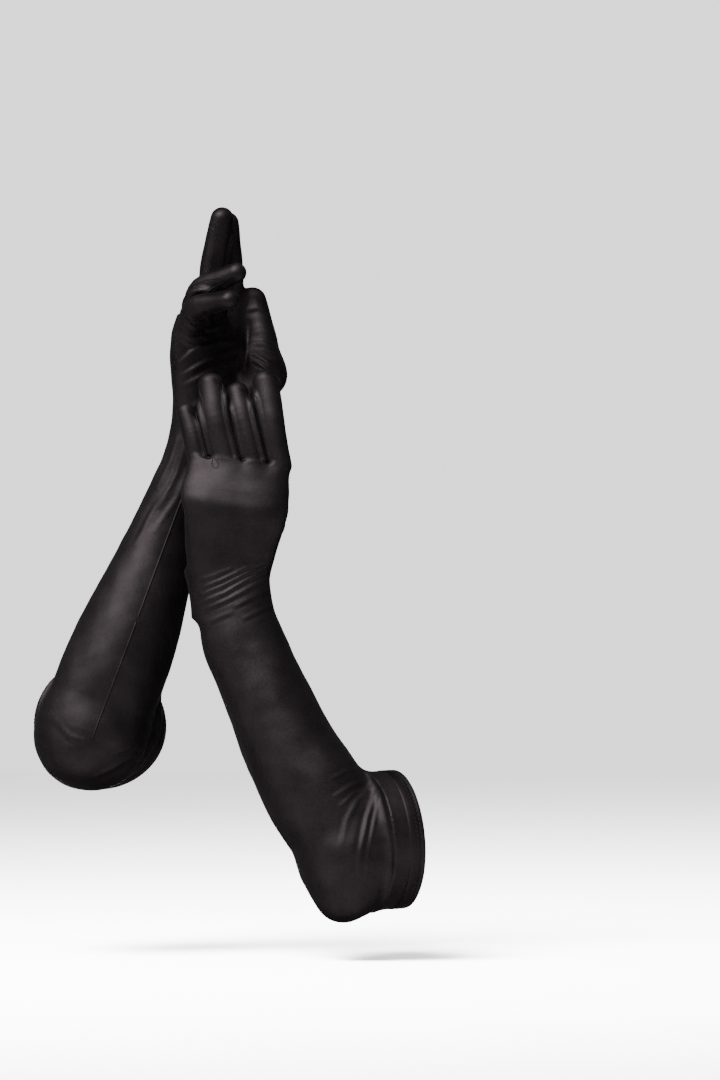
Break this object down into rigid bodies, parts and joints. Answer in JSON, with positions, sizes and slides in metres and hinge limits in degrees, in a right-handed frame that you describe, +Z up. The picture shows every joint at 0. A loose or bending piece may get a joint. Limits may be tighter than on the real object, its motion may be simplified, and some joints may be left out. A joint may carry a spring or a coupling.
{
  "type": "opera gloves",
  "caption": "Pair of elbow-length black stretch-satin evening gloves, shaped as on raised bent arms, one hand laid over the other wrist.",
  "frame": {"origin": "centre of the left glove's wrist, where a display hand or the wearer's hand holds it", "axes": "+Z up along the raised hands, +X to the side of the left glove's arm opening, +Y from the back of the left hand through to its palm"},
  "size_m": [0.2875, 0.1462, 0.5187],
  "materials": {
    "satin": "stretch satin, soft sheen",
    "hem": "turned satin hem, stitched",
    "fourchette": "satin strip",
    "seam": "raised sewn seam"
  },
  "bodies": {
    "left_index_finger": {"left_index_finger": "satin", "left_index_finger_outer_fourchette": "fourchette"},
    "left_middle_finger": {"left_middle_finger": "satin", "left_middle_finger_inner_fourchette": "fourchette", "left_middle_finger_outer_fourchette": "fourchette"},
    "left_ring_finger": {"left_ring_finger": "satin", "left_ring_finger_inner_fourchette": "fourchette", "left_ring_finger_outer_fourchette": "fourchette"},
    "left_little_finger": {"left_little_finger": "satin", "left_little_finger_inner_fourchette": "fourchette"},
    "left_thumb": {"left_thumb": "satin"},
    "left_hand": {"left_hand": "satin"},
    "left_forearm": {"left_forearm_sleeve": "satin", "left_wrist_section": "satin", "left_elbow_section": "satin", "left_side_seam": "seam"},
    "left_cuff": {"left_hem": "hem"},
    "right_index_finger": {"right_index_finger": "satin", "right_index_finger_outer_fourchette": "fourchette"},
    "right_middle_finger": {"right_middle_finger": "satin", "right_middle_finger_inner_fourchette": "fourchette", "right_middle_finger_outer_fourchette": "fourchette"},
    "right_ring_finger": {"right_ring_finger": "satin", "right_ring_finger_inner_fourchette": "fourchette", "right_ring_finger_outer_fourchette": "fourchette"},
    "right_little_finger": {"right_little_finger": "satin", "right_little_finger_inner_fourchette": "fourchette"},
    "right_thumb": {"right_thumb": "satin"},
    "right_hand": {"right_hand": "satin"},
    "right_forearm": {"right_forearm_sleeve": "satin", "right_wrist_section": "satin", "right_elbow_section": "satin", "right_side_seam": "seam"},
    "right_cuff": {"right_hem": "hem"}
  },
  "joints": [
    {"name": "left_wrist", "type": "hinge", "parent": "left_hand", "child": "left_forearm", "pos_m": [0, 0, 0], "axis": [-0.9946, 0, 0.1041], "range_deg": [-30, 30], "deforming": ["left_wrist_section"]},
    {"name": "left_elbow", "type": "hinge", "parent": "left_forearm", "child": "left_cuff", "pos_m": [0.09, -0.018, -0.198], "axis": [-0.352, 0.9041, -0.2422], "range_deg": [0, 70], "deforming": ["left_elbow_section"]},
    {"name": "left_index_finger_bend", "type": "hinge", "parent": "left_hand", "child": "left_index_finger", "pos_m": [0.0378, 0.003, 0.089], "axis": [-0.9724, 0, -0.2334], "range_deg": [-35, 0]},
    {"name": "left_middle_finger_bend", "type": "hinge", "parent": "left_hand", "child": "left_middle_finger", "pos_m": [0.02, 0.001, 0.089], "axis": [-0.9635, 0, -0.2676], "range_deg": [-35, 0]},
    {"name": "left_ring_finger_bend", "type": "hinge", "parent": "left_hand", "child": "left_ring_finger", "pos_m": [0, 0, 0.086], "axis": [-0.9762, 0, -0.2169], "range_deg": [-35, 0]},
    {"name": "left_little_finger_bend", "type": "hinge", "parent": "left_hand", "child": "left_little_finger", "pos_m": [-0.0212, 0.002, 0.082], "axis": [-0.9727, 0, -0.2322], "range_deg": [-18, 0]},
    {"name": "left_thumb_spread", "type": "hinge", "parent": "left_hand", "child": "left_thumb", "pos_m": [0.026, 0.025, 0.047], "axis": [0, 0.6074, -0.7944], "range_deg": [0, 30]},
    {"name": "gloves_part", "type": "slide", "parent": "left_hand", "child": "right_forearm", "axis": [-0.7001, 0.7141, 0], "range_m": [0, 0.25]},
    {"name": "right_wrist", "type": "hinge", "parent": "right_forearm", "child": "right_hand", "pos_m": [-0.021, 0.046, 0.108], "axis": [0.7139, 0.6999, -0.0202], "range_deg": [-40, 0], "deforming": ["right_wrist_section"]},
    {"name": "right_elbow", "type": "hinge", "parent": "right_forearm", "child": "right_cuff", "pos_m": [-0.103, 0.028, -0.108], "axis": [-0.919, 0.214, 0.3311], "range_deg": [0, 70], "deforming": ["right_elbow_section"]},
    {"name": "right_index_finger_bend", "type": "hinge", "parent": "right_hand", "child": "right_index_finger", "pos_m": [0.0004, 0.0625, 0.196], "axis": [0.7133, 0.6993, 0.046], "range_deg": [-15, 45]},
    {"name": "right_middle_finger_bend", "type": "hinge", "parent": "right_hand", "child": "right_middle_finger", "pos_m": [-0.0116, 0.0506, 0.2], "axis": [0.7137, 0.6997, 0.0341], "range_deg": [-15, 45]},
    {"name": "right_ring_finger_bend", "type": "hinge", "parent": "right_hand", "child": "right_ring_finger", "pos_m": [-0.0236, 0.0388, 0.197], "axis": [0.7129, 0.699, 0.0565], "range_deg": [-50, 0]},
    {"name": "right_little_finger_bend", "type": "hinge", "parent": "right_hand", "child": "right_little_finger", "pos_m": [-0.0354, 0.0272, 0.19], "axis": [0.6886, 0.6751, 0.2649], "range_deg": [-44, 0]},
    {"name": "right_thumb_spread", "type": "hinge", "parent": "right_hand", "child": "right_thumb", "pos_m": [0.022, 0.06, 0.156], "axis": [-0.6902, 0.6902, -0.2173], "range_deg": [0, 30]}
  ]
}
